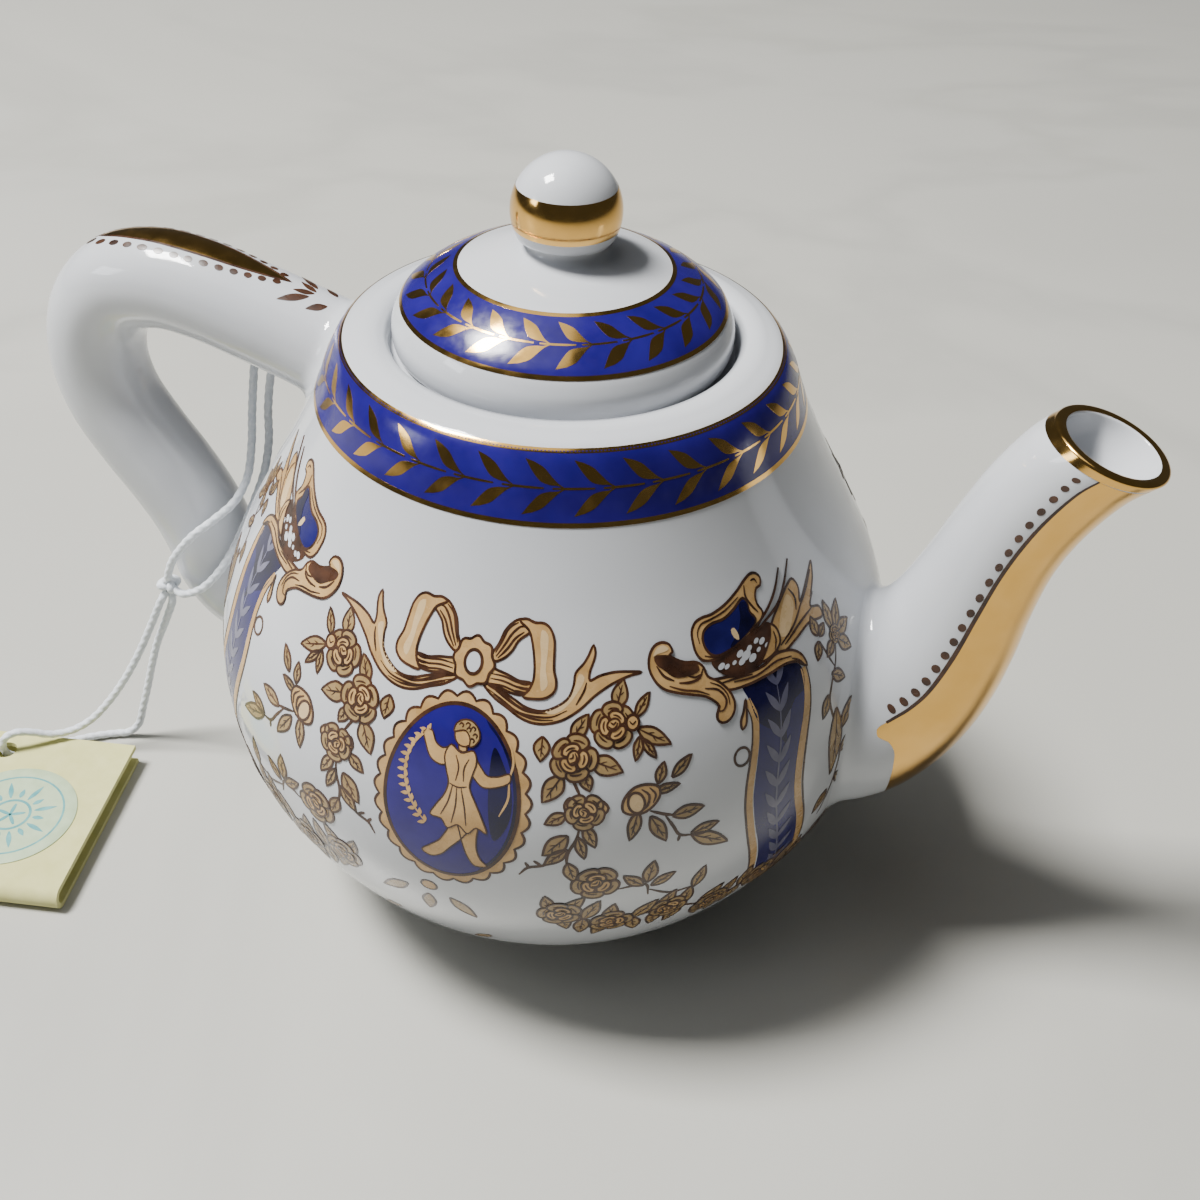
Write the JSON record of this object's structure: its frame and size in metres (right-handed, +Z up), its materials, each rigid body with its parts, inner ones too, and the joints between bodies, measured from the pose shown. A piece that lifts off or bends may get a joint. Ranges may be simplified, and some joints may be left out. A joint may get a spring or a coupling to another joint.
{
  "type": "miniature porcelain teapot",
  "caption": "Miniature glazed porcelain teapot with a round lift-off lid, ball knob, curved spout and loop handle, with a folded price tag tied on by a string.",
  "frame": {"origin": "on the table, under the middle of the pot from the handle's outside to the spout's lip", "axes": "+X towards the spout, +Z up, -Y the side with the medallion that the viewer sees"},
  "size_m": [0.1257, 0.0727, 0.0753],
  "materials": {
    "porcelain": "clear glossy glaze over cool white porcelain",
    "bare_foot": "unglazed, ground smooth",
    "gilding": "bright liquid gold fired on the glaze",
    "cobalt_enamel": "glossy overglaze transfer",
    "ochre_print": "fine-screened gold-brown transfer under gloss",
    "outline_print": "dark brown transfer outline",
    "tag_paper": "matt uncoated card",
    "sticker_paper": "satin label paper",
    "cotton_string": "twisted cotton"
  },
  "bodies": {
    "pot": {"body_shell": "porcelain", "foot_ring": "bare_foot", "spout": "porcelain", "handle": "porcelain", "tag_card": "tag_paper", "tag_sticker": "sticker_paper", "tag_string_upper": "cotton_string", "tag_string_lower": "cotton_string", "tag_string_knot": "cotton_string"},
    "lid": {"lid_cap": "porcelain", "lid_collar": "porcelain", "lid_knob": "porcelain"}
  },
  "joints": [
    {"name": "lid_lift", "type": "slide", "parent": "pot", "child": "lid", "axis": [0, 0, 1], "range_m": [0, 0.04]}
  ]
}
